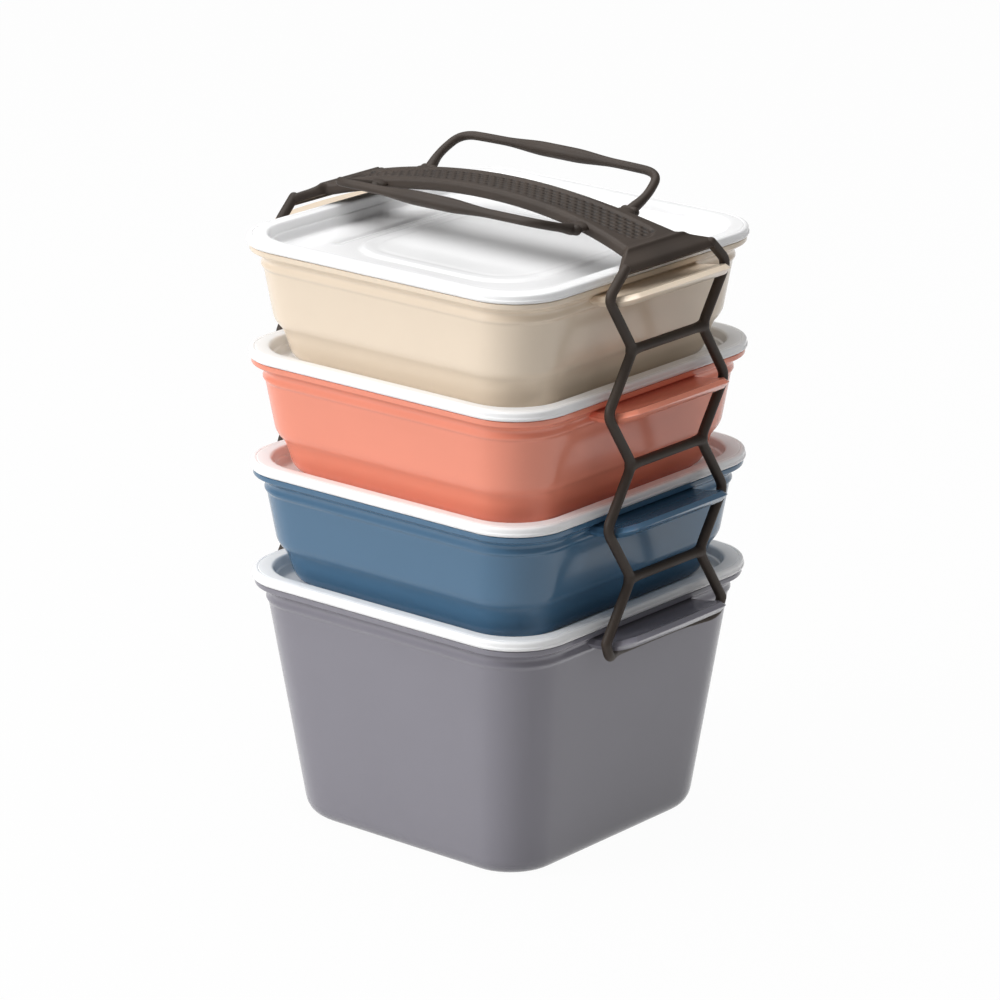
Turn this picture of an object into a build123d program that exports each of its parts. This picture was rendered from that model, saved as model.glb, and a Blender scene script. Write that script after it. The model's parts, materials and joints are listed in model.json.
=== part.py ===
from build123d import *
import os

# A tiffin carrier: four nesting square boxes with snap lids, held together by an elastomer
# harness with a grip strap, two fold-up loops and a ladder down each side that keys round the
# boxes' ears. Millimetres, +Z up. X runs along the grip strap, towards the ears, and Y from
# front to rear. The origin is the middle of the lowest box's base.

# ---------------------------------------------------------------- driving dimensions
lid_width = 180.0          # outer width of every lid, in X and in Y
lid_corner = 28.0          # plan radius of the lid's outer corners
tier_pitch = 53.7          # rise from one lid to the next
deep_height = 121.1        # base to rim of the deep box

wall = 2.2                 # box wall thickness
floor_thickness = 2.4      # box floor thickness
lid_skin = 1.6             # thickness of the lid's recessed panel
fit_gap = 0.3              # clearance between pieces that seat on each other

# lid
lid_top_rise = 2.2         # lid's top above the box rim
lid_skirt_drop = 2.2       # lid's skirt below the box rim
lid_rim = 7.7              # width of the flat rim round the recess
recess_depth = 8.5         # panel below the lid's top
recess_draft = 2.6         # how far the recess closes in towards its panel
panel_rise = 0.8           # height of the raised plateau in the panel
panel_width = 104.0        # width of the raised plateau
groove_length = 92.0       # straight groove in the panel, beside the plateau
groove_width = 5.0
groove_depth = 0.7
groove_offset = 60.0       # groove's distance from the middle

# box rim, neck and wall, as insets from the lid's outer edge and drops below the rim
lip_inset = 2.6
lip_height = 2.5
flange_inset = 0.8
flange_drop = 4.7
neck_inset = 5.6
neck_drop = 8.2
ridge_inset = 4.8
ridge_drop = 12.2
wall_inset = 5.6
wall_drop = 13.2
deep_foot_inset = 19.5     # deep box's foot
shallow_step_inset = 9.3   # where a shallow box's wall ends
shallow_step_drop = 39.7
shallow_nest_inset = 10.7  # where its nesting part starts
shallow_nest_drop = 41.0
shallow_foot_inset = 16.2
foot_round = 9.0           # rounding of the foot's edge
corner_step = 0.28         # how much a plan corner tightens for each millimetre of inset

# ears, in one piece with their box
ear_reach = 20.0           # how far an ear's middle stands out past the lid's edge
ear_bulge = 2.0            # how far its middle stands out past its ends
ear_length = 72.0
ear_corner = 12.0
ear_thickness = 4.2
ear_root_drop = 7.2        # top of the ear at the wall, below the rim
ear_lip_drop = 1.6         # top of the ear's outer lip, below the rim
ear_trim = 1.0             # how far the dished plate is made longer than the ear's outline

# grip strap
grip_rise = 24.3           # top of the arch above the top lid's rim
grip_sag = 12.4            # fall of the arch from its middle to the yokes
grip_thickness = 6.0
grip_middle_width = 26.0
grip_end_width = 37.0
grip_panel_width = 17.0
grip_panel_length = 158.0
grip_panel_depth = 0.9
grip_round = 1.6

# yokes
yoke_start = 90.0          # distance from the middle to the joint between grip and yoke
yoke_width = 52.0
yoke_thickness = 4.4
yoke_shoulder = 3.4        # run of the yoke's top, out to its fold
yoke_shoulder_fall = 2.4
yoke_foot_drop = 2.6       # yoke's lower edge above the top lid's lid_top_rise
yoke_hole = 1.4            # radius of the small moulded dimple
yoke_hole_depth = 1.2

# ladders
ladder_offset = 9.0        # rod centres past the lid's edge
rod = 4.8                  # rod diameter
cell_wide = 42.5           # half-width of a ladder at the ears
cell_narrow = 25.0         # half-width of a ladder at a rung
cell_drop = 5.0            # widest point below the rim
rod_bend = 3.0             # bend radius at the ladder's corners
bar_tuck = 6.0             # how far the bottom bar tucks in under the ear
bar_drop = 16.2            # bottom bar below the deep box's rim
bar_half = 24.0            # half-length of its straight middle
bar_shoulder_drop = 12.6   # where the bar starts to tuck in
bar_shoulder_in = 3.1      # how far its shoulders stand in from the ladder's widest points

# loop handles
loop_root = 60.0           # half-distance between a loop's two arms
loop_length = 27.0         # hinge axis to the middle of the loop's bar
loop_corner = 13.0
loop_rod = 4.2
loop_grip = 7.0            # diameter of the thicker grip zone
loop_grip_length = 62.0
loop_axis = 20.6           # hinge axis from the strap's middle
loop_drop = 3.0            # hinge axis below the strap's top
loop_angle = {"front": 17.0, "rear": 30.0}
knuckle_radius = 3.0
knuckle_length = 7.0
tab_length = 9.0
tab_height = 4.2
tab_clear = 2.7            # tab's end, short of the hinge axis

# ---------------------------------------------------------------- derived places
half_lid = lid_width / 2
tiers = ["grey", "blue", "coral", "beige"]
rim_z = {name: deep_height + i * tier_pitch for i, name in enumerate(tiers)}
recess_floor = lid_top_rise - recess_depth
shallow_height = tier_pitch - recess_floor - panel_rise
top_rim = rim_z[tiers[-1]]
arch_top = top_rim + grip_rise
arch_radius = (yoke_start**2 + grip_sag**2) / (2 * grip_sag)
ladder_x = half_lid + ladder_offset


def corner(inset):
    """Plan corner radius of an outline set in from the lid's edge."""
    return max(lid_corner - corner_step * inset, 1.0)


def outline(z, inset):
    """Rounded square at height z, set in from the lid's outer edge."""
    size = 2 * (half_lid - inset)
    return Plane.XY.offset(z) * RectangleRounded(size, size, corner(inset))


def skin(profile):
    """Solid whose sides run straight from one (z, inset) of the profile to the next."""
    return loft([outline(z, inset) for z, inset in profile], ruled=True)


def arch_z(x):
    """Height of the arch's top surface at x."""
    return arch_top - arch_radius + (arch_radius**2 - x**2) ** 0.5


# ---------------------------------------------------------------- boxes
def box_profile(rim, foot):
    """Heights and insets of a box's outside, from its foot up to its rim."""
    return [
        *foot,
        (rim - wall_drop, wall_inset),
        (rim - ridge_drop, ridge_inset),
        (rim - neck_drop, neck_inset),
        (rim - flange_drop, flange_inset),
        (rim - lip_height, flange_inset),
        (rim - lip_height, lip_inset),
        (rim, lip_inset),
    ]


def box_outside(rim, foot):
    """Outside of a box, with its foot rounded."""
    profile = box_profile(rim, foot)
    lower = skin(profile[:-2])
    lip = extrude(outline(rim - lip_height, lip_inset), lip_height)
    lower = fillet(lower.edges().group_by(Axis.Z)[0], foot_round)
    return lower + lip


def box_cavity(rim, foot):
    """Space inside a box, a wall's thickness in from its outside."""
    low_z, low_inset = foot[0]
    profile = [(low_z + floor_thickness, low_inset + wall)]
    profile += [(z, inset + wall) for z, inset in foot[1:]]
    profile += [
        (rim - wall_drop, wall_inset + wall),
        (rim - neck_drop, neck_inset + wall),
        (rim, lip_inset + wall),
    ]
    cavity = skin(profile)
    return fillet(cavity.edges().group_by(Axis.Z)[0], foot_round - wall)


def ear(rim, side):
    """One ear: a dished plate that leaves the wall level and turns up to a rounded lip."""
    root_x = half_lid - wall_inset - wall / 2
    tip_x = half_lid + ear_reach
    top_root = Vector(root_x, 0, rim - ear_root_drop)
    top_lip = Vector(tip_x + ear_trim - ear_thickness / 2, 0, rim - ear_lip_drop)
    middle_x = (root_x + tip_x) / 2
    dish = 0.3 * (ear_root_drop - ear_lip_drop)
    top_middle = Vector(middle_x, 0, rim - ear_root_drop + dish)
    drop = Vector(0, 0, ear_thickness)
    nose = Vector(tip_x + ear_trim, 0, rim - ear_lip_drop - ear_thickness / 2)
    edges = [
        ThreePointArc(top_root, top_middle, top_lip),
        ThreePointArc(top_lip, nose, top_lip - drop),
        ThreePointArc(top_lip - drop, top_middle - drop, top_root - drop),
        Line(top_root - drop, top_root),
    ]
    plate = extrude(make_face(Wire(edges)), amount=ear_length / 2, dir=(0, 1, 0), both=True)
    end = Vector(tip_x - ear_bulge, ear_length / 2, 0)
    plan = [
        Line((root_x, -end.Y), (end.X, -end.Y)),
        ThreePointArc((end.X, -end.Y), (tip_x, 0), (end.X, end.Y)),
        Line((end.X, end.Y), (root_x, end.Y)),
        Line((root_x, end.Y), (root_x, -end.Y)),
    ]
    shape = make_face(Wire(plan))
    tips = [v for v in shape.vertices() if v.X > root_x + ear_bulge]
    shape = fillet(tips, ear_corner)
    depth = 2 * ear_root_drop + ear_thickness
    column = extrude(Plane.XY.offset(rim - depth) * shape, depth)
    piece = plate & column
    return piece if side > 0 else mirror(piece, Plane.YZ)


def box(name):
    """A box with its two ears."""
    rim = rim_z[name]
    if name == tiers[0]:
        foot = [(0, deep_foot_inset)]
    else:
        foot = [
            (rim - shallow_height, shallow_foot_inset),
            (rim - shallow_nest_drop, shallow_nest_inset),
            (rim - shallow_step_drop, shallow_step_inset),
        ]
    body = box_outside(rim, foot)
    for side in (1, -1):
        body += ear(rim, side)
    return body - box_cavity(rim, foot)


# ---------------------------------------------------------------- lids
def lid(name):
    """A snap lid: rim, skirt over the box's lip, and a recess that the next box nests in."""
    rim = rim_z[name]
    top = rim + lid_top_rise
    plug_inset = lid_rim - lid_skin
    body = extrude(outline(rim - lid_skirt_drop, 0), lid_top_rise + lid_skirt_drop)
    plug_bottom = rim + recess_floor - lid_skin
    plug = skin([(plug_bottom, plug_inset + recess_draft), (rim, plug_inset)])
    body += plug
    recess = skin([(rim + recess_floor, lid_rim + recess_draft), (top, lid_rim)])
    plateau = RectangleRounded(panel_width, panel_width, lid_corner)
    recess -= extrude(Plane.XY.offset(rim + recess_floor) * plateau, panel_rise)
    groove = SlotOverall(groove_length, groove_width, rotation=90)
    groove_floor = Plane.XY.offset(rim + recess_floor - groove_depth)
    recess += extrude(groove_floor * Pos(-groove_offset, 0) * groove, groove_depth + fit_gap)
    seat = skin([(rim - lid_skirt_drop, lip_inset - fit_gap), (rim, lip_inset - fit_gap)])
    seat -= skin([(rim - lid_skirt_drop, plug_inset + 0.9), (rim, plug_inset)])
    body = body - seat - recess
    return body


# ---------------------------------------------------------------- grip strap and yokes
def band(width_middle, width_end, length, top_drop, thickness):
    """Part of the arched strap: an arc-shaped slab, waisted in plan."""
    outer = arch_radius - top_drop
    centre = Vector(0, 0, arch_top - arch_radius)
    half = length / 2

    def on_arc(x, radius):
        return Vector(x, 0, centre.Z + (radius**2 - x**2) ** 0.5)

    inner = outer - thickness
    edges = [
        ThreePointArc(on_arc(-half, outer), on_arc(0, outer), on_arc(half, outer)),
        Line(on_arc(half, outer), on_arc(half, inner)),
        ThreePointArc(on_arc(half, inner), on_arc(0, inner), on_arc(-half, inner)),
        Line(on_arc(-half, inner), on_arc(-half, outer)),
    ]
    slab = extrude(make_face(Wire(edges)), amount=width_end, dir=(0, 1, 0), both=True)
    a, b = width_middle / 2, width_end / 2
    plan = [
        ThreePointArc((-half, -b), (0, -a), (half, -b)),
        Line((half, -b), (half, b)),
        ThreePointArc((half, b), (0, a), (-half, b)),
        Line((-half, b), (-half, -b)),
    ]
    floor = centre.Z + (inner**2 - half**2) ** 0.5 - 1
    height = arch_top - floor + 1
    return slab & extrude(Plane.XY.offset(floor) * make_face(Wire(plan)), height)


def grip():
    """The grip strap, with the shallow panel sunk in its top."""
    strap = band(grip_middle_width, grip_end_width, 2 * yoke_start, 0, grip_thickness)
    long_edges = [e for e in strap.edges() if e.length > yoke_start]
    strap = fillet(long_edges, grip_round)
    panel_end = grip_panel_width + 2.0
    panel = band(grip_panel_width, panel_end, grip_panel_length, -1.0, 1.0 + grip_panel_depth)
    return strap - panel


def yoke(side):
    """Shaped end of the strap: a shoulder, a fold and a skirt that the legs leave from."""
    start_top = arch_z(yoke_start)
    fold = Vector(yoke_start + yoke_shoulder, 0, start_top - yoke_shoulder_fall)
    foot_z = top_rim + lid_top_rise + yoke_foot_drop
    outer_x = ladder_x + rod / 2
    pts = [
        (yoke_start, start_top),
        (fold.X, fold.Z),
        (outer_x, foot_z + yoke_thickness / 2),
        (outer_x, foot_z),
        (outer_x - yoke_thickness, foot_z),
        (fold.X - yoke_thickness / 2, fold.Z - yoke_thickness),
        (yoke_start, start_top - grip_thickness),
    ]
    profile = make_face(Polyline(*[(x, 0, z) for x, z in pts], close=True))
    slab = extrude(profile, amount=yoke_width / 2, dir=(0, 1, 0), both=True)
    a, b = grip_end_width / 2, yoke_width / 2
    plan = make_face(
        Polyline(
            (yoke_start, -a),
            (fold.X, -b + 2),
            (fold.X + 2, -b),
            (outer_x + 1, -b),
            (outer_x + 1, b),
            (fold.X + 2, b),
            (fold.X, b - 2),
            (yoke_start, a),
            close=True,
        )
    )
    piece = slab & extrude(Plane.XY.offset(foot_z - 1) * plan, start_top - foot_z + 2)
    face_mid = Vector((fold.X + outer_x) / 2, 0, (fold.Z + foot_z + yoke_thickness / 2) / 2)
    out = Vector(fold.Z - foot_z - yoke_thickness / 2, 0, outer_x - fold.X).normalized()
    dimple = Plane(origin=face_mid - out * yoke_hole_depth, z_dir=out)
    piece -= extrude(dimple * Circle(yoke_hole), 2 * yoke_hole_depth)
    return piece if side > 0 else mirror(piece, Plane.YZ)


# ---------------------------------------------------------------- ladders
def rod_along(points, radius, diameter):
    """Round rod along straight runs joined by bends."""
    path = FilletPolyline(*points, radius=radius)
    start = Plane(origin=path @ 0, z_dir=path % 0)
    return sweep(start * Circle(diameter / 2), path=path)


def ladder(side):
    """Legs, rungs and bottom bar of one ladder, keyed by name."""
    wide_z = [rim_z[name] - cell_drop for name in reversed(tiers)]
    narrow_z = [z - tier_pitch / 2 for z in wide_z[:-1]]
    start_z = top_rim + lid_top_rise + yoke_foot_drop + rod / 4
    start_y = (yoke_width - rod) / 2
    end = yoke(1)
    pieces = {}
    for name, way in (("front_leg", -1), ("rear_leg", 1)):
        points = [(ladder_x, way * start_y, start_z)]
        for i, z in enumerate(wide_z):
            points.append((ladder_x, way * cell_wide, z))
            if i < len(narrow_z):
                points.append((ladder_x, way * cell_narrow, narrow_z[i]))
        leg = rod_along(points, rod_bend, rod) - end
        pieces[name] = max(leg.solids(), key=lambda solid: solid.volume)
    legs = pieces["front_leg"] + pieces["rear_leg"]
    for name, z in zip(("upper_rung", "middle_rung", "lower_rung"), narrow_z):
        turn = Plane(origin=(ladder_x, -cell_narrow, z), z_dir=(0, 1, 0))
        pieces[name] = extrude(turn * Circle(rod / 2), 2 * cell_narrow) - legs
    low = rim_z[tiers[0]]
    half = [
        (ladder_x, cell_wide, low - cell_drop),
        (ladder_x - bar_tuck / 10, cell_wide - bar_shoulder_in, low - bar_shoulder_drop),
        (ladder_x - bar_tuck, bar_half, low - bar_drop),
    ]
    points = half + [(x, -y, z) for x, y, z in reversed(half)]
    pieces["bottom_bar"] = rod_along(points, rod_bend, rod) - legs
    if side < 0:
        pieces = {name: mirror(piece, Plane.YZ) for name, piece in pieces.items()}
    return pieces


# ---------------------------------------------------------------- loop handles
def loop(way, angle):
    """A loop handle: two arms on hinge knuckles, and a bar with a thicker grip zone."""
    bar_y = loop_length
    points = [
        (-loop_root, 0, 0),
        (-loop_root, bar_y, 0),
        (loop_root, bar_y, 0),
        (loop_root, 0, 0),
    ]
    piece = rod_along(points, loop_corner, loop_rod)
    half = loop_grip_length / 2
    thin, thick = loop_rod / 2, loop_grip / 2
    turned = [(-half, 0), (-half, thin), (-half / 3, thick), (half / 3, thick), (half, thin)]
    spindle = revolve(make_face(Polyline(*turned, (half, 0), close=True)), Axis.X)
    piece += Pos(0, bar_y, 0) * spindle
    for x in (-loop_root, loop_root):
        piece += Pos(x, 0, 0) * Rot(0, 90, 0) * Cylinder(knuckle_radius, knuckle_length)
    piece = Rot(angle, 0, 0) * piece
    if way < 0:
        piece = mirror(piece, Plane.XZ)
    return Pos(0, way * loop_axis, arch_z(loop_root) - loop_drop) * piece


def tab(side, way):
    """Hinge tab on the strap's edge, with a hollow that the loop's knuckle turns in."""
    axis_z = arch_z(loop_root) - loop_drop
    inner = grip_middle_width / 2
    length = loop_axis - tab_clear - inner
    block = Pos(loop_root, inner + length / 2, axis_z) * Box(tab_length, length, tab_height)
    seat = Rot(0, 90, 0) * Cylinder(knuckle_radius + fit_gap, 2 * tab_length)
    block -= Pos(loop_root, loop_axis, axis_z) * seat
    strap = band(grip_middle_width, grip_end_width, 2 * yoke_start, 0, grip_thickness)
    block -= strap
    block = max(block.solids(), key=lambda solid: solid.center().Y)
    if side < 0:
        block = mirror(block, Plane.YZ)
    return block if way > 0 else mirror(block, Plane.XZ)


# ---------------------------------------------------------------- all the pieces
pieces = {}
for tier in tiers:
    pieces[f"{tier}_box"] = box(tier)
    pieces[f"{tier}_lid"] = lid(tier)
pieces["grip"] = grip()
for side_name, side in (("left", -1), ("right", 1)):
    pieces[f"{side_name}_yoke"] = yoke(side)
    for piece_name, piece in ladder(side).items():
        pieces[f"{side_name}_{piece_name}"] = piece
for way_name, way in (("front", -1), ("rear", 1)):
    pieces[f"{way_name}_loop"] = loop(way, loop_angle[way_name])
    for side_name, side in (("left", -1), ("right", 1)):
        pieces[f"{way_name}_{side_name}_tab"] = tab(side, way)

os.makedirs("parts", exist_ok=True)
for name, piece in pieces.items():
    export_step(piece, f"parts/{name}.step")
    print(f"{name}: {piece.volume / 1000:.2f} cm3, {len(piece.solids())} solid(s)")
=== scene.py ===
"""Looks of a tiffin carrier: four nesting tubs with snap covers in a rubbery harness.

Laid out as an add-on: the main sizes and the colours are properties, each group of pieces has an
operator, and a panel in the 3D view's sidebar lists them. The constants and the profile tables are
in millimetres, and the properties and meshes in metres.
"""

import json

import bpy
import numpy as np
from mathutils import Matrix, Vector


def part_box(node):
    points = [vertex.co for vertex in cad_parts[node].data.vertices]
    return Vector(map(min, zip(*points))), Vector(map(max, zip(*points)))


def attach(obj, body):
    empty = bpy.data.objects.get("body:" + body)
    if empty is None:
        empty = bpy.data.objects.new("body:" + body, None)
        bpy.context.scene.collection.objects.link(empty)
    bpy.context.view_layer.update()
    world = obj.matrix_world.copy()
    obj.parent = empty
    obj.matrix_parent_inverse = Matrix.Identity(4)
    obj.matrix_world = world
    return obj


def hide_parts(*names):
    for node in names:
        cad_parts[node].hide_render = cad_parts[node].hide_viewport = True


bl_info = {
    "name": "Tiffin Carrier",
    "version": (1, 0, 0),
    "blender": (4, 5, 0),
    "location": "3D View > Sidebar > Tiffin",
    "description": "Builds a stack of nesting food tubs in a harness with a grip strap and loops",
    "category": "Add Mesh",
}

MM = 0.001
TIERS = ["grey", "blue", "coral", "beige"]
SIDES = {"left": -1, "right": 1}
LADDER_NODES = ["front_leg", "rear_leg", "upper_rung", "middle_rung", "lower_rung", "bottom_bar"]

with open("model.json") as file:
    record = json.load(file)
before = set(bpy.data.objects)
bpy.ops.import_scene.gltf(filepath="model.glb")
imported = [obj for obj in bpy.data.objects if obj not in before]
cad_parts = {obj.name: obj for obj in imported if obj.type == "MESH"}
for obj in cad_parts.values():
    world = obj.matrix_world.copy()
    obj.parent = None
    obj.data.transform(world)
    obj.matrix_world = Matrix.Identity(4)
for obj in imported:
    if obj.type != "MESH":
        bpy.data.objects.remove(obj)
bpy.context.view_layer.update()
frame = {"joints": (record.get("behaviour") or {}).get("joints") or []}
HALF_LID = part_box("grey_lid")[1].x / MM
RIM = {tier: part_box(f"{tier}_box")[1].z / MM for tier in TIERS}
FOOT = {tier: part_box(f"{tier}_box")[0].z / MM for tier in TIERS}
EAR_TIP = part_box("grey_box")[1].x / MM
PITCH = RIM["blue"] - RIM["grey"]
JOINTS = {joint["name"]: joint for joint in frame["joints"]}

CENTRE_INSET = 89.5  # inset of a profile's smallest ring, which a fan closes
FOOT_LIFT = 0.7  # the underside inside a tub's foot ring
FLOOR_THICKNESS = 2.4
COVER_FLOOR = -6.3  # a cover's recess floor, from the rim
FLOOR_ROWS = 64  # rings across a cover's recess floor

LADDER_OFFSET = 9.0  # rod centres past the covers' edge
LADDER_DROP = 5.0  # a ladder is widest this far under each rim
LADDER_WIDE = 42.5  # half-width of a ladder beside the ears
LADDER_NARROW = 25.0  # half-width of a ladder at its rungs
LADDER_TOP = 30.8  # half-width of a ladder at its yoke
RUNG_HALF = 26.0  # half-length of a rung

ARC_HALF = 90.0  # half-length over which the strap's arc rises
ARC_RISE = 12.4
YOKE_START = 88.5  # half-length of the arc before the fold to a yoke
YOKE_HALF = 34.0  # half-width of a yoke's end
STRAP_EDGE = 2.3  # rounding of the strap's long edges
PANEL_HALF = (87.0, 9.6)  # half-sizes of the sunken panel
PANEL_CORNER = 8.5
PITS = (4.8, 3.1, 84.5, 9.3)  # pitch along and across, and half-sizes of the pitted area
PIT_DEPTH = 0.55

LOOP_ROOT = 60.0  # half-distance between a loop's knuckles
LOOP_REACH = 27.0  # hinge axis to the middle of a loop's bar


# ------------------------------------------------------------------ properties
def length(name, description, default):
    """A size in metres, shown in the scene's own unit."""
    return bpy.props.FloatProperty(
        name=name, description=description, default=default, unit="LENGTH", precision=4, min=0.0
    )


def colour(name, description, default):
    """A colour in linear red, green and blue."""
    return bpy.props.FloatVectorProperty(
        name=name, description=description, default=default, subtype="COLOR", size=3, min=0, max=1
    )


class TiffinSizes(bpy.types.PropertyGroup):
    wall: length("Wall", "Thickness of a tub's wall", 0.0022)
    cover_corner: length("Cover corner", "Plan radius of a cover's corners", 0.028)
    cover_rim: length("Cover rim", "Width of the flat rim round a cover's recess", 0.0077)
    plateau_rise: length("Plateau rise", "Height of the plateau in a cover's recess", 0.0008)
    ear_length: length("Ear length", "Length of an ear along the tub's side", 0.076)
    ear_thickness: length("Ear thickness", "Thickness of an ear at its lip", 0.0046)
    strap_middle: length("Strap middle", "Width of the grip strap at its middle", 0.026)
    strap_end: length("Strap end", "Width of the grip strap where the yokes start", 0.038)
    strap_thickness: length("Strap thickness", "Thickness of the grip strap", 0.006)
    panel_depth: length("Panel depth", "Depth of the dimpled panel in the strap", 0.0009)
    rod: length("Rod", "Diameter of the ladders' rods", 0.0048)
    loop_rod: length("Loop rod", "Diameter of the carry loops' rods", 0.0042)
    loop_grip: length("Loop grip", "Diameter of the loops' thicker zone", 0.0068)


class TiffinColours(bpy.types.PropertyGroup):
    grey: colour("Grey tub", "Colour of the deep tub", (0.235, 0.226, 0.262))
    blue: colour("Blue tub", "Colour of the tub above the deep one", (0.066, 0.155, 0.262))
    coral: colour("Coral tub", "Colour of the third tub", (0.87, 0.29, 0.19))
    beige: colour("Beige tub", "Colour of the top tub", (0.82, 0.69, 0.545))
    cover: colour("Covers", "Colour of the snap covers", (0.94, 0.94, 0.945))
    harness: colour("Harness", "Colour of the rubbery harness", (0.046, 0.033, 0.025))
    floor: colour("Floor", "Colour of the floor", (0.55, 0.55, 0.55))


# ------------------------------------------------------------------ shader maths
class Field:
    """One output of a shader tree. Arithmetic on it adds Math nodes."""

    def __init__(self, tree, socket):
        self.tree = tree
        self.socket = socket

    def node(self, kind, settings=None, **sockets):
        """Adds a node: its settings first, then the value or link of each named socket."""
        made = self.tree.nodes.new(kind)
        for key, value in (settings or {}).items():
            setattr(made, key, value)
        for key, value in sockets.items():
            found = made.inputs[int(key[1:]) if key[1:].isdigit() else key.replace("_", " ")]
            if isinstance(value, Field):
                self.tree.links.new(value.socket, found)
            else:
                found.default_value = value
        return [Field(self.tree, out) for out in made.outputs]

    def math(self, operation, *values):
        """A Math node of these values."""
        inputs = {f"_{i}": value for i, value in enumerate(values)}
        return self.node("ShaderNodeMath", {"operation": operation}, **inputs)[0]

    def __add__(self, other):
        return self.math("ADD", self, other)

    def __radd__(self, other):
        return self.math("ADD", other, self)

    def __sub__(self, other):
        return self.math("SUBTRACT", self, other)

    def __rsub__(self, other):
        return self.math("SUBTRACT", other, self)

    def __mul__(self, other):
        return self.math("MULTIPLY", self, other)

    def __rmul__(self, other):
        return self.math("MULTIPLY", other, self)

    def __truediv__(self, other):
        return self.math("DIVIDE", self, other)

    def __abs__(self):
        return self.math("ABSOLUTE", self)

    def below(self, limit, soft):
        """1 where the value is under the limit, falling to 0 over a soft edge."""
        return self.math("MINIMUM", self.math("MAXIMUM", (limit - self) / soft + 0.5, 0.0), 1.0)


def noise(place, scale, detail=2.0):
    """Noise from 0 to 1 at a scale in waves per metre."""
    return place.node("ShaderNodeTexNoise", None, Vector=place, Scale=scale, Detail=detail)[0]


def tint(place, mask, low, high):
    """Colour that goes from low to high with the mask."""
    return place.node(
        "ShaderNodeMix",
        {"data_type": "RGBA", "clamp_factor": True},
        _0=mask,
        _6=(*low, 1.0),
        _7=(*high, 1.0),
    )[2]


def new_material(name, **constants):
    """A material with its main shader, whose constant values are set on its own sockets."""
    material = bpy.data.materials.new(name)
    material.use_nodes = True
    tree = material.node_tree
    shader = tree.nodes["Principled BSDF"]
    for key, value in constants.items():
        shader.inputs[key.replace("_", " ")].default_value = value
    place = Field(tree, tree.nodes.new("ShaderNodeTexCoord").outputs["Object"])
    return material, shader, place


def feed(shader, place, **links):
    """Links values that change over the surface to the shader's sockets."""
    for key, value in links.items():
        place.tree.links.new(value.socket, shader.inputs[key.replace("_", " ")])


def bump(place, height, depth):
    """Normal of a height from 0 to 1, whose full height is depth in metres."""
    return place.node("ShaderNodeBump", None, Strength=1.0, Distance=depth, Height=height)[0]


def shaded(shade, factor):
    """A colour made lighter or darker by a factor."""
    return tuple(min(1.0, channel * factor) for channel in shade)


def tub_finish(name, shade):
    """Glossy moulded plastic: slow mottling, a faint orange peel and slightly uneven gloss."""
    material, shader, place = new_material(name, IOR=1.48, Coat_Weight=0.2, Coat_Roughness=0.08)
    slow = noise(place, 18.0)
    peel = noise(place, 260.0, 1.0)
    feed(
        shader,
        place,
        Base_Color=tint(place, slow, shaded(shade, 0.96), shaded(shade, 1.04)),
        Roughness=0.2 + 0.08 * noise(place, 60.0, 2.0),
        Normal=bump(place, peel, 0.000004),
    )
    return material


def cover_finish(shade):
    """Milky polyethylene: it lets light in a little, and has a fine satin grain."""
    material, shader, place = new_material("milky cover", IOR=1.5, Subsurface_Weight=0.25)
    shader.inputs["Subsurface Radius"].default_value = (0.006, 0.006, 0.006)
    shader.inputs["Subsurface Scale"].default_value = 1.0
    slow = noise(place, 25.0)
    grain = noise(place, 1500.0, 3.0)
    feed(
        shader,
        place,
        Base_Color=tint(place, slow, shaded(shade, 0.975), shade),
        Roughness=0.14 + 0.1 * noise(place, 90.0, 4.0),
        Normal=bump(place, grain, 0.00001),
    )
    return material


def harness_finish(name, shade, pit_shade_layout=None):
    """Semi-matte elastomer: fine moulded grain and slow mottling, with painted shade inside any
    pits.
    """
    material, shader, place = new_material(name, IOR=1.38)
    slow = noise(place, 35.0, 4.0)
    grain = noise(place, 1800.0, 3.0) * 0.12
    mask = slow
    if pit_shade_layout:
        # painted shade: inside the strap's pits the mottled colour is pulled down towards its dark
        # end
        mask = slow - pit_shade_mask(place, *pit_shade_layout) * 0.9
    feed(
        shader,
        place,
        Base_Color=tint(place, mask, shaded(shade, 0.4), shaded(shade, 1.35)),
        Roughness=0.50 + 0.14 * noise(place, 140.0, 4.0),
        Normal=bump(place, grain, 0.0005),
    )
    return material


def pit_shade_mask(place, pitch_x, pitch_y, half_x, half_y):
    """1 inside small rectangular pits set in staggered rows, within a panel's half-sizes: painted
    shade for the pits.
    """
    x, y, _z = place.node("ShaderNodeSeparateXYZ", None, Vector=place)
    across = y / pitch_y
    row = abs(across.math("FLOOR", across))
    along = x / pitch_x + row.math("MODULO", row, 2.0) * 0.5
    u = abs(along.math("FRACT", along) - 0.5)
    v = abs(across.math("FRACT", across) - 0.5)
    inside = abs(x).below(half_x, 0.001) * abs(y).below(half_y, 0.0004)
    return u.below(0.27, 0.14) * v.below(0.29, 0.14) * inside


# ------------------------------------------------------------------ mesh maths
def skin(rings):
    """Closed surface through rings of points, (rows, columns, 3), with a fan over each end."""
    rows, columns = rings.shape[:2]
    index = np.arange(rows * columns).reshape(rows, columns)
    after = np.roll(index, -1, axis=1)
    quads = np.stack([index[:-1], after[:-1], after[1:], index[1:]], axis=-1).reshape(-1, 4)
    hub = np.array([rings[0].mean(0), rings[-1].mean(0)])
    first = np.stack([after[0], index[0], np.full(columns, rows * columns)], axis=-1)
    last = np.stack([index[-1], after[-1], np.full(columns, rows * columns + 1)], axis=-1)
    points = np.concatenate([rings.reshape(-1, 3), hub])
    return outward(points, quads, np.concatenate([first, last]))


def outward(points, quads, fans):
    """The same faces, turned over if the volume they enclose comes out negative."""
    halves = np.concatenate([quads[:, [0, 1, 2]], quads[:, [0, 2, 3]], fans])
    a, b, c = (points[halves[:, i]] for i in range(3))
    if (a * np.cross(b, c)).sum() < 0:
        quads, fans = quads[:, ::-1], fans[:, ::-1]
    return points, quads, fans


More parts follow.
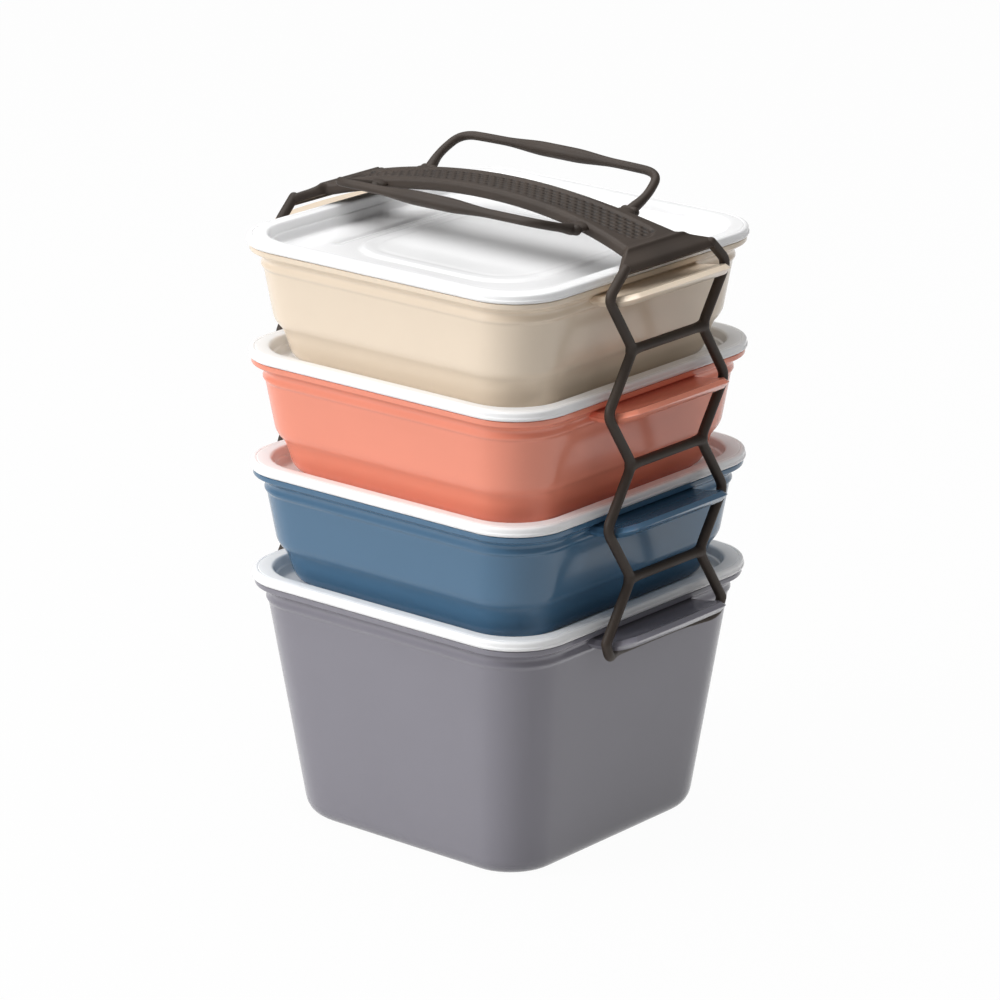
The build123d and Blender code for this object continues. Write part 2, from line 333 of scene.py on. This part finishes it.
def put(name, shells, material, node_names, body, sharp=32.0):
    """One object of closed shells, in place of CAD nodes, riding on their body."""
    points, faces, start = [], [], 0
    for shell_points, quads, fans in shells:
        points.append(shell_points * MM)
        faces += (quads + start).tolist() + (fans + start).tolist()
        start += len(shell_points)
    mesh = bpy.data.meshes.new(name)
    mesh.from_pydata(np.concatenate(points), [], faces)
    mesh.polygons.foreach_set("use_smooth", np.ones(len(faces), bool))
    mesh.set_sharp_from_angle(angle=np.radians(sharp))
    mesh.materials.append(material)
    mesh.validate()
    piece = bpy.data.objects.new(name, mesh)
    bpy.context.scene.collection.objects.link(piece)
    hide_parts(*node_names)
    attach(piece, body)
    return piece


def eased(points, reach, steps=5):
    """A line with its inner corners eased.

    Each corner P becomes a quadratic curve from P towards its neighbours by its own reach:
    (1-t)^2 A + 2t(1-t) P + t^2 B.
    """
    points = np.asarray(points, float)
    reach = np.broadcast_to(np.asarray(reach, float), len(points))[1:-1, None]
    corner = points[1:-1]
    back = points[:-2] - corner
    ahead = points[2:] - corner
    back_size = np.linalg.norm(back, axis=1, keepdims=True)
    ahead_size = np.linalg.norm(ahead, axis=1, keepdims=True)
    a = corner + back / back_size * np.minimum(reach, 0.45 * back_size)
    b = corner + ahead / ahead_size * np.minimum(reach, 0.45 * ahead_size)
    t = np.linspace(0, 1, steps)[None, :, None]
    curve = (1 - t) ** 2 * a[:, None] + 2 * t * (1 - t) * corner[:, None] + t**2 * b[:, None]
    return np.concatenate([points[:1], curve.reshape(-1, points.shape[1]), points[-1:]])


def square_columns(arc=12, straight=14):
    """Weights (a, b) of a rounded square: a point is a (half - corner) + b corner.

    On a corner a is (+-1, +-1) and b turns with the angle; on a side b is the side's normal
    and a runs from one corner to the next.
    """
    turn = np.linspace(0, np.pi / 2, arc)
    run = np.linspace(0, 1, straight + 2)[1:-1, None]
    a, b = [], []
    for k in range(4):
        spin = k * np.pi / 2
        here = np.array([np.cos(spin + np.pi / 4), np.sin(spin + np.pi / 4)]) * np.sqrt(2)
        ahead = np.array([np.cos(spin + 0.75 * np.pi), np.sin(spin + 0.75 * np.pi)]) * np.sqrt(2)
        a.append(np.broadcast_to(here, (arc, 2)))
        b.append(np.stack([np.cos(turn + spin), np.sin(turn + spin)], axis=-1))
        normal = np.array([np.cos(spin + np.pi / 2), np.sin(spin + np.pi / 2)])
        a.append(here * (1 - run) + ahead * run)
        b.append(np.broadcast_to(normal, (straight, 2)))
    return np.concatenate(a), np.concatenate(b)


def square_rings(profile, corner_radius):
    """Rounded squares at each (inset, z) of a profile; corners tighten as the outline shrinks."""
    profile = np.asarray(profile, float)
    half = HALF_LID - profile[:, 0]
    corner = np.minimum(np.maximum(corner_radius - 0.28 * profile[:, 0], 1.0), half)
    a, b = square_columns()
    plan = a[None] * (half - corner)[:, None, None] + b[None] * corner[:, None, None]
    z = np.broadcast_to(profile[:, 1, None, None], (*plan.shape[:2], 1))
    return np.concatenate([plan, z], axis=-1)


def box_distance(x, y, half_x, half_y, corner):
    """Distance from a rounded rectangle's edge: negative inside, positive outside."""
    qx = np.abs(x) - (half_x - corner)
    qy = np.abs(y) - (half_y - corner)
    out = np.hypot(np.maximum(qx, 0), np.maximum(qy, 0))
    return out + np.minimum(np.maximum(qx, qy), 0) - corner


def ramp(value, low, high):
    """0 below low, 1 above high, and 3t^2 - 2t^3 between."""
    t = np.clip((value - low) / (high - low), 0, 1)
    return t * t * (3 - 2 * t)


# ------------------------------------------------------------------ tubs
def tub_profile(tier, wall):
    """(inset, z) from the middle of the underside, up the outside, and down to the inner floor.

    The third column of its table is the reach of each corner's easing.
    """
    rim, foot = RIM[tier], FOOT[tier]
    if tier == "grey":
        lower = [(19.5, foot, 9.0)]
        inner = [(20.9, foot + FLOOR_THICKNESS, 7.0)]
    else:
        lower = [(16.2, foot, 9.0), (12.6, rim - 43.2, 3.5), (9.2, rim - 38.4, 3.0)]
        inner = [
            (11.5, rim - 39.7, 1.5),
            (12.9, rim - 41.0, 1.5),
            (18.2, foot + FLOOR_THICKNESS, 7.0),
        ]
    rows = [
        (CENTRE_INSET, foot + FOOT_LIFT, 0),
        (37.0, foot + FOOT_LIFT, 1.0),
        (36.0, foot, 1.0),
        *lower,
        (5.75, rim - 13.6, 0.8),
        (4.7, rim - 12.2, 1.0),
        (5.9, rim - 8.2, 3.6),
        (0.9, rim - 4.9, 0.5),
        (0.8, rim - 2.6, 0.3),
        (2.6, rim - 2.6, 0.2),
        (2.6, rim, 0.6),
        (2.6 + wall, rim, 0.6),
        (5.9 + wall, rim - 9.0, 3.0),
        (5.7 + wall, rim - 13.2, 1.5),
        *inner,
        (CENTRE_INSET, inner[-1][1], 0),
    ]
    table = np.array(rows)
    return eased(table[:, :2], table[:, 2], 7)


def ear_shell(rim, side, reach, thickness):
    """A dished ear: a plate over a rounded plan, thin at its edge, lowest near the tub's wall.

    Its middle height rises from the wall to the lip with the distance to the power of 2.2, and
    its half-thickness is sqrt(r^2 - (r - d)^2) at a distance d under r from the edge.
    """
    root, tip = 82.0, EAR_TIP
    half_y = reach / 2
    corner, bow = 7.0, 1.6
    root_drop, dish = 9.3, 5.2
    turn = np.linspace(-1, 1, 121)
    size = np.abs(turn)
    angle = np.clip((size - 0.5) / 0.25, 0, 1) * np.pi / 2
    edge_y = np.minimum(size / 0.5, 1) * (half_y - corner) + np.sin(angle) * corner
    edge_x = tip - corner + np.cos(angle) * corner
    edge_x -= bow * (edge_y / half_y) ** 2
    edge_x -= np.clip((size - 0.75) / 0.25, 0, 1) * (tip - corner - bow - root)
    edge_y *= np.sign(turn)
    share = (1 - np.linspace(0, 1, 26) ** 2)[:, None]
    x = root + (edge_x - root)[None] * (1 - share * 0.999)
    y = edge_y[None] * (1 - share * 0.45)
    gap = np.hypot(edge_x - x, edge_y - y)
    r = thickness / 2
    d = np.minimum(gap, r)
    half = np.sqrt(np.maximum(r * r - (r - d) ** 2, 0))
    rise = np.clip((x - root) / (tip - root), 0, 1)
    middle = rim - root_drop + dish * rise**2.2
    top = np.stack([side * x, y, middle + half], axis=-1)
    low = np.stack([side * x, y, middle - half], axis=-1)
    return skin(np.concatenate([top, low[::-1][1:]], axis=0))


def build_tubs(sizes, colours):
    """The four tubs, each with its two ears."""
    for tier in TIERS:
        rings = square_rings(tub_profile(tier, sizes.wall / MM), sizes.cover_corner / MM)
        shells = [skin(rings)]
        for side in SIDES.values():
            shells.append(
                ear_shell(RIM[tier], side, sizes.ear_length / MM, sizes.ear_thickness / MM)
            )
        material = tub_finish(f"{tier} plastic", tuple(getattr(colours, tier)))
        name = f"{tier}_tub"
        put(name, shells, material, [f"{tier}_box"], f"{tier}_box", 50.0)


# ------------------------------------------------------------------ covers
def cover_profile(rim_width):
    """(inset, z from the rim) from the middle of a cover's underside round to its recess floor.

    The third column of its table is the reach of each corner's easing. The floor's rings are even.
    """
    rows = [
        (CENTRE_INSET, -7.9, 0),
        (8.7, -7.9, 1.5),
        (6.1, 0.0, 0.3),
        (2.3, 0.0, 0.2),
        (2.3, -2.2, 0.2),
        (0.5, -2.2, 0.3),
        (0.0, -1.5, 0.3),
        (0.0, -0.7, 0.2),
        (0.35, -0.3, 0.2),
        (0.35, 1.5, 0.6),
        (1.1, 2.2, 0.5),
        (1.9, 2.2, 0.15),
        (2.15, 1.9, 0.15),
        (2.4, 2.2, 0.15),
        (rim_width - 0.6, 2.2, 0.7),
        (rim_width, 1.4, 0.5),
        (rim_width + 0.6, -2.2, 0.4),
        (rim_width + 1.3, -2.6, 0.4),
        (rim_width + 2.2, COVER_FLOOR, 1.6),
        (12.6, COVER_FLOOR, 0.3),
    ]
    table = np.array(rows)
    line = eased(table[:, :2], table[:, 2], 5)
    floor = np.linspace(13.0, 89.6, FLOOR_ROWS)
    flat = np.stack([floor, np.full(FLOOR_ROWS, COVER_FLOOR)], axis=-1)
    return np.concatenate([line, flat])


def recess_relief(x, y, rise):
    """Height on a cover's floor: a plateau, a shallow line inside its edge and a groove.

    The plateau is 1 inside a rounded square, the line is exp(-(d / 0.9)^2) at a distance d from a
    smaller one, and the groove goes by the distance from a straight stretch beside the plateau.
    """
    plateau = 1 - ramp(box_distance(x, y, 52.0, 52.0, 26.0), -0.8, 0.8)
    inner = np.exp(-((box_distance(x, y, 45.0, 45.0, 20.0) / 0.9) ** 2))
    aside = np.hypot(x + 60.0, np.maximum(np.abs(y) - 43.0, 0))
    groove = 1 - ramp(aside, 1.4, 2.8)
    return rise * plateau - 0.25 * inner - groove


def build_covers(sizes, colours):
    """The four snap covers."""
    material = cover_finish(tuple(colours.cover))
    profile = cover_profile(sizes.cover_rim / MM)
    for tier in TIERS:
        rings = square_rings(profile, sizes.cover_corner / MM)
        rings[..., 2] += RIM[tier]
        floor = rings[-FLOOR_ROWS - 1 :]
        floor[..., 2] += recess_relief(floor[..., 0], floor[..., 1], sizes.plateau_rise / MM)
        put(f"{tier}_cover", [skin(rings)], material, [f"{tier}_lid"], f"{tier}_lid")


# ------------------------------------------------------------------ rods
def tube(path, normal, radius, sides=20):
    """Round rod along a path, with domed ends.

    A ring's points are P + r (cos a S + sin a U), where S is across the path in the plane of the
    normal, and U completes it. A dome's ring at a share d of the radius past the path's end has the
    radius r sqrt(1 - d^2).
    """
    path = np.asarray(path, float)
    radius = np.broadcast_to(np.asarray(radius, float), len(path))
    along = np.gradient(path, axis=0)
    along /= np.linalg.norm(along, axis=1, keepdims=True)
    across = np.cross(along, normal)
    across /= np.linalg.norm(across, axis=1, keepdims=True)
    up = np.cross(across, along)
    dome = np.array([0.98, 0.8, 0.55, 0.25])
    shut = np.sqrt(1 - dome**2)
    head = path[0] - along[0] * (dome * radius[0])[:, None]
    tail = path[-1] + along[-1] * (dome[::-1] * radius[-1])[:, None]
    centre = np.concatenate([head, path, tail])
    size = np.concatenate([shut * radius[0], radius, shut[::-1] * radius[-1]])
    ends = ((len(dome), len(dome)), (0, 0))
    across = np.pad(across, ends, mode="edge")[:, None]
    up = np.pad(up, ends, mode="edge")[:, None]
    angle = np.linspace(0, 2 * np.pi, sides, endpoint=False)
    spin = np.cos(angle)[None, :, None] * across + np.sin(angle)[None, :, None] * up
    return skin(centre[:, None] + spin * size[:, None, None])


def divided(path, step):
    """The same line with points an even step apart."""
    path = np.asarray(path, float)
    run = np.concatenate([[0], np.cumsum(np.linalg.norm(np.diff(path, axis=0), axis=1))])
    places = np.linspace(0, run[-1], max(int(run[-1] / step), 2))
    return np.stack([np.interp(places, run, path[:, i]) for i in range(path.shape[1])], axis=-1)


def ladder_shells(side, rod):
    """Overlapping rods of one ladder: legs and rungs in an upright plane, and a bar tucked in."""
    x = side * (HALF_LID + LADDER_OFFSET)
    wide = np.array([RIM[tier] - LADDER_DROP for tier in reversed(TIERS)])
    narrow = wide[:-1] - PITCH / 2
    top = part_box("left_front_leg")[1].z / MM
    shells = []
    for way in (-1, 1):
        ys = np.empty(8)
        zs = np.empty(8)
        ys[0], zs[0] = LADDER_TOP, top - 1.2
        ys[1::2], zs[1::2] = LADDER_WIDE, wide
        ys[2::2], zs[2::2] = LADDER_NARROW, narrow
        points = np.stack([np.full(8, x), way * ys, zs], axis=-1)
        path = divided(eased(points, 4.5, 9), 1.0)
        shells.append(tube(path, (1, 0, 0), rod / 2))
    for z in narrow:
        path = divided([(x, -RUNG_HALF, z), (x, RUNG_HALF, z)], 1.0)
        flare = 1 + 0.22 * ramp(np.abs(path[:, 1]), RUNG_HALF - 7.0, RUNG_HALF)
        shells.append(tube(path, (1, 0, 0), rod / 2 * flare * 0.96))
    low = RIM["grey"]
    half = np.array(
        [
            (x, LADDER_WIDE, low - LADDER_DROP),
            (x - side * 0.6, 39.4, low - 12.6),
            (x - side * 9.5, 24.0, low - 15.6),
        ]
    )
    bar = np.concatenate([half, half[::-1] * (1, -1, 1)])
    shells.append(tube(divided(eased(bar, 5.0, 9), 1.0), (1, 0, 0), rod / 2))
    return shells


def build_ladders(sizes, colours):
    """The two ladders, their rods merged into one moulding with eased joints."""
    material = harness_finish("harness rubber", tuple(colours.harness))
    for name, side in SIDES.items():
        shells = ladder_shells(side, sizes.rod / MM + 0.15)
        nodes = [f"{name}_{part}" for part in LADDER_NODES]
        piece = put(f"{name}_web", shells, material, nodes, f"{name}_ladder", 180.0)
        merge = piece.modifiers.new("merge", "REMESH")
        merge.mode = "VOXEL"
        merge.voxel_size = 0.0006
        merge.use_smooth_shade = True
        ease = piece.modifiers.new("ease", "SMOOTH")
        ease.factor = 0.5
        ease.iterations = 8


# ------------------------------------------------------------------ grip strap
def strap_line():
    """Top line of the strap from end to end: a circular arc, a fold, and the yoke's slope."""
    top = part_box("grip")[1].z / MM
    radius = (ARC_HALF**2 + ARC_RISE**2) / (2 * ARC_RISE)
    x = np.linspace(0, YOKE_START, 210)
    arc = np.stack([x, top - radius + np.sqrt(radius**2 - x**2)], axis=-1)
    yoke = np.array([(91.2, 294.2), (94.4, 292.0), (99.6, 289.6), (101.2, 287.1)])
    yoke[:, 1] += top - 306.5
    fold = eased(np.concatenate([arc[-1:], yoke]), 1.2, 6)
    half = np.concatenate([arc[:-1], divided(fold, 0.45)])
    return np.concatenate([half[:0:-1] * (-1, 1), half])


def pit_relief(x, y, pitch_x, pitch_y, half_x, half_y):
    """1 in small rectangular pits and 0 between them.

    Row n = floor(y / pitch_y) is shifted by half a pitch when n is odd; a pit is where the
    fractions of x / pitch_x and y / pitch_y are both near a half, inside the panel's half-sizes.
    """
    row = np.floor(y / pitch_y)
    u = np.abs((x / pitch_x + 0.5 * (np.abs(row) % 2)) % 1 - 0.5)
    v = np.abs((y / pitch_y) % 1 - 0.5)
    inside = (1 - ramp(np.abs(x), half_x - 0.5, half_x + 0.5)) * (
        1 - ramp(np.abs(y), half_y - 0.2, half_y + 0.2)
    )
    return (1 - ramp(u, 0.20, 0.34)) * (1 - ramp(v, 0.22, 0.36)) * inside


def build_strap(sizes, colours):
    """The grip strap with its dimpled panel, both yokes and the four hinge tabs.

    A section is carried along the top line: its edge falls by e - sqrt(e^2 - (|y| - w + e)^2), the
    panel sinks by its depth inside a rounded rectangle, its pits sink further, a crease rises by a
    Gaussian at the fold to the yoke, and the underside mirrors the edge.
    """
    line = strap_line()
    along = np.gradient(line, axis=0)
    along /= np.linalg.norm(along, axis=1, keepdims=True)
    normal = np.stack([-along[:, 1], along[:, 0]], axis=-1)
    reach = np.abs(line[:, 0])
    middle, end = sizes.strap_middle / MM / 2, sizes.strap_end / MM / 2
    width = middle + (end - middle) * (np.minimum(reach, ARC_HALF) / ARC_HALF) ** 3
    width += (YOKE_HALF - end) * ramp(reach, YOKE_START, 100.0)
    thick = sizes.strap_thickness / MM - 1.6 * ramp(reach, 88.0, 95.0)
    share = np.sin(np.linspace(-1, 1, 75) * np.pi / 2)
    y = width[:, None] * share[None]
    over = np.clip((np.abs(y) - (width[:, None] - STRAP_EDGE)) / STRAP_EDGE, 0, 1)
    fall = STRAP_EDGE * (1 - np.sqrt(1 - over**2))
    inside = box_distance(line[:, 0, None], y, *PANEL_HALF, PANEL_CORNER)
    sink = sizes.panel_depth / MM * (1 - ramp(inside, -0.7, 0.5))
    crease = 0.5 * np.exp(-(((reach - 91.6) / 0.8) ** 2))[:, None]
    pits = pit_relief(line[:, 0, None], y, *PITS)
    top = -fall - sink - PIT_DEPTH * pits + crease
    low = -thick[:, None] + np.minimum(fall, thick[:, None] / 2 - 0.1)
    heights = np.concatenate([top, low[:, ::-1]], axis=1)
    sides = np.concatenate([y, y[:, ::-1]], axis=1)
    x = line[:, 0, None] + normal[:, 0, None] * heights
    z = line[:, 1, None] + normal[:, 1, None] * heights
    shells = [skin(np.stack([x, sides, z], axis=-1))]
    shells += [tab_shell(side, way, width, line) for side in (-1, 1) for way in (-1, 1)]
    # the pits' layout in metres, for the painted shade inside them
    pit_shade_layout = [value * MM for value in PITS]
    material = harness_finish("strap rubber", tuple(colours.harness), pit_shade_layout)
    nodes = ["grip", "left_yoke", "right_yoke"]
    nodes += [f"{way}_{side}_tab" for way in ("front", "rear") for side in ("left", "right")]
    put("grip_strap", shells, material, nodes, "carrier_grip", 38.0)


def tab_shell(side, way, width, line):
    """A hinge tab: a flattened ball that grows from the strap's edge towards the loop's knuckle."""
    hinge = np.array(JOINTS["front_loop_fold" if way < 0 else "rear_loop_fold"]["pos_m"]) / MM
    half = len(line) // 2
    inner = np.interp(LOOP_ROOT, line[half:, 0], width[half:]) - 3.0
    outer = abs(hinge[1]) + 0.5
    v = np.linspace(-1, 1, 15)[1:-1] * np.pi / 2
    u = np.linspace(0, 2 * np.pi, 28, endpoint=False)
    x = side * LOOP_ROOT + 5.2 * np.cos(v)[:, None] ** 0.6 * np.cos(u)[None]
    z = hinge[2] + 0.2 + 2.3 * np.cos(v)[:, None] ** 0.6 * np.sin(u)[None]
    y = (inner + outer) / 2 + (outer - inner) / 2 * np.sin(v)[:, None] * np.ones(28)[None]
    return skin(np.stack([x, way * y, z], axis=-1))


# ------------------------------------------------------------------ carry loops
def build_loops(sizes, colours):
    """The two carry loops: a bent rod, thicker along its bar, on a knuckle at each end."""
    material = harness_finish("loop rubber", tuple(colours.harness))
    for name, way, lift in (("front", -1, 17.0), ("rear", 1, 30.0)):
        hinge = np.array(JOINTS[f"{name}_loop_fold"]["pos_m"]) / MM
        tilt = np.radians(lift)
        out = np.array([0, way * np.cos(tilt), np.sin(tilt)])
        plan = np.array(
            [
                (-LOOP_ROOT, 0),
                (-LOOP_ROOT - 2.5, 12),
                (-LOOP_ROOT + 1, LOOP_REACH - 0.6),
                (-38, LOOP_REACH),
                (0, LOOP_REACH),
            ]
        )
        plan = np.concatenate([plan, plan[-2::-1] * (-1, 1)])
        path = divided(eased(plan, 10.0, 12), 1.0)
        thin, thick = sizes.loop_rod / 2 / MM, sizes.loop_grip / 2 / MM
        bulge = 1 - ramp(np.abs(path[:, 0]), 8.0, 34.0)
        radius = thin + (thick - thin) * bulge
        radius = np.where(path[:, 1] < 14, thin * (1 + 0.3 * ramp(14 - path[:, 1], 2, 14)), radius)
        place = hinge + path[:, :1] * (1, 0, 0) + path[:, 1:] * out
        shells = [tube(place, np.cross((1, 0, 0), out), radius, 24)]
        for x in (-LOOP_ROOT, LOOP_ROOT):
            pin = np.array([(x - 2.6, 0, 0), (x + 2.6, 0, 0)]) + hinge
            shells.append(tube(divided(pin, 1.0), (0, 0, 1), 2.5, 20))
        put(f"{name}_carry_loop", shells, material, [f"{name}_loop"], f"{name}_loop")


# ------------------------------------------------------------------ stage
def build_stage(colours):
    """A pale floor, soft lamps, a plain world and the camera.

    Camera rays find the floor and the world near white, and glossy rays find the floor so.
    """
    floor = bpy.data.meshes.new("floor")
    reach = 9.0
    corners = [(-reach, -reach, 0), (reach, -reach, 0), (reach, reach, 0), (-reach, reach, 0)]
    floor.from_pydata(corners, [], [(0, 1, 2, 3)])
    ground = bpy.data.objects.new("floor", floor)
    bpy.context.scene.collection.objects.link(ground)
    material, shader, place = new_material("floor", Roughness=0.9)
    shader.inputs["Base Color"].default_value = (*colours.floor, 1.0)
    tree = material.node_tree
    rays = place.node("ShaderNodeLightPath")
    camera_ray, glossy_ray = rays[0], rays[3]
    seen = camera_ray.math("MAXIMUM", camera_ray, glossy_ray)
    whiteness = 0.97
    glow = place.node("ShaderNodeEmission", None, Color=(1, 1, 1, 1), Strength=1.0)[0]
    lit = Field(tree, shader.outputs[0])
    both = place.node("ShaderNodeMixShader", None, _0=seen * whiteness, _1=lit, _2=glow)[0]
    tree.links.new(both.socket, tree.nodes["Material Output"].inputs["Surface"])
    floor.materials.append(material)

    world = bpy.data.worlds.new("studio")
    bpy.context.scene.world = world
    world.use_nodes = True
    sky = world.node_tree.nodes["Background"]
    sky_place = Field(world.node_tree, sky.outputs[0])
    ray = sky_place.node("ShaderNodeLightPath")
    ambient = 0.24
    level = ambient + ray[0] * (1 - ambient)
    world.node_tree.links.new(level.socket, sky.inputs["Strength"])
    sky.inputs["Color"].default_value = (1, 1, 1, 1)

    for name, place, aim, size, power in (
        ("key", (-1.3, -2.3, 1.5), (0, 0, 0.15), 1.2, 60.0),
        ("fill", (2.0, -0.6, 1.9), (0, 0, 0.3), 0.9, 3.5),
        ("top", (-0.5, -0.1, 2.4), (0, 0, 0.2), 2.4, 58.0),
    ):
        lamp = bpy.data.lights.new(name, "AREA")
        lamp.size = size
        lamp.energy = power
        light = bpy.data.objects.new(name, lamp)
        light.location = place
        light.rotation_euler = (Vector(aim) - Vector(place)).to_track_quat("-Z", "Y").to_euler()
        bpy.context.scene.collection.objects.link(light)

    lens = bpy.data.cameras.new("camera")
    lens.sensor_width = 36.0
    lens.lens = 176.4
    camera = bpy.data.objects.new("camera", lens)
    camera.location = (1.4024, -1.6620, 0.8616)
    aim = Vector((0.0004, 0.0003, 0.153))
    camera.rotation_euler = (aim - camera.location).to_track_quat("-Z", "Y").to_euler()
    bpy.context.scene.collection.objects.link(camera)
    bpy.context.scene.camera = camera
    bpy.context.scene.view_settings.view_transform = "Standard"


# ------------------------------------------------------------------ add-on
class TIFFIN_OT_tubs(bpy.types.Operator):
    """Build the four tubs with their ears"""

    bl_idname = "tiffin.tubs"
    bl_label = "Tubs"

    def execute(self, context):
        build_tubs(context.scene.tiffin_sizes, context.scene.tiffin_colours)
        return {"FINISHED"}


class TIFFIN_OT_covers(bpy.types.Operator):
    """Build the four snap covers"""

    bl_idname = "tiffin.covers"
    bl_label = "Covers"

    def execute(self, context):
        build_covers(context.scene.tiffin_sizes, context.scene.tiffin_colours)
        return {"FINISHED"}


class TIFFIN_OT_ladders(bpy.types.Operator):
    """Build the harness's two ladders"""

    bl_idname = "tiffin.ladders"
    bl_label = "Ladders"

    def execute(self, context):
        build_ladders(context.scene.tiffin_sizes, context.scene.tiffin_colours)
        return {"FINISHED"}


class TIFFIN_OT_strap(bpy.types.Operator):
    """Build the grip strap with its yokes and hinge tabs"""

    bl_idname = "tiffin.strap"
    bl_label = "Grip strap"

    def execute(self, context):
        build_strap(context.scene.tiffin_sizes, context.scene.tiffin_colours)
        return {"FINISHED"}


class TIFFIN_OT_loops(bpy.types.Operator):
    """Build the two carry loops"""

    bl_idname = "tiffin.loops"
    bl_label = "Carry loops"

    def execute(self, context):
        build_loops(context.scene.tiffin_sizes, context.scene.tiffin_colours)
        return {"FINISHED"}


class TIFFIN_OT_stage(bpy.types.Operator):
    """Build the floor, lamps, world and camera"""

    bl_idname = "tiffin.stage"
    bl_label = "Stage"

    def execute(self, context):
        build_stage(context.scene.tiffin_colours)
        return {"FINISHED"}


OPERATORS = [
    TIFFIN_OT_tubs,
    TIFFIN_OT_covers,
    TIFFIN_OT_ladders,
    TIFFIN_OT_strap,
    TIFFIN_OT_loops,
    TIFFIN_OT_stage,
]


class TIFFIN_PT_panel(bpy.types.Panel):
    """Sizes, colours and build buttons of the tiffin carrier"""

    bl_label = "Tiffin carrier"
    bl_space_type = "VIEW_3D"
    bl_region_type = "UI"
    bl_category = "Tiffin"

    def draw(self, context):
        for group in (context.scene.tiffin_sizes, context.scene.tiffin_colours):
            for key in group.bl_rna.properties.keys():
                if key not in ("rna_type", "name"):
                    self.layout.prop(group, key)
        for operator in OPERATORS:
            self.layout.operator(operator.bl_idname)


CLASSES = [TiffinSizes, TiffinColours, *OPERATORS, TIFFIN_PT_panel]


def register():
    for kind in CLASSES:
        bpy.utils.register_class(kind)
    bpy.types.Scene.tiffin_sizes = bpy.props.PointerProperty(type=TiffinSizes)
    bpy.types.Scene.tiffin_colours = bpy.props.PointerProperty(type=TiffinColours)


def unregister():
    del bpy.types.Scene.tiffin_sizes
    del bpy.types.Scene.tiffin_colours
    for kind in reversed(CLASSES):
        bpy.utils.unregister_class(kind)


def main():
    """Registers the add-on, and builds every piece."""
    register()
    for operator in OPERATORS:
        group, name = operator.bl_idname.split(".")
        getattr(getattr(bpy.ops, group), name)()


if __name__ == "__main__":
    main()
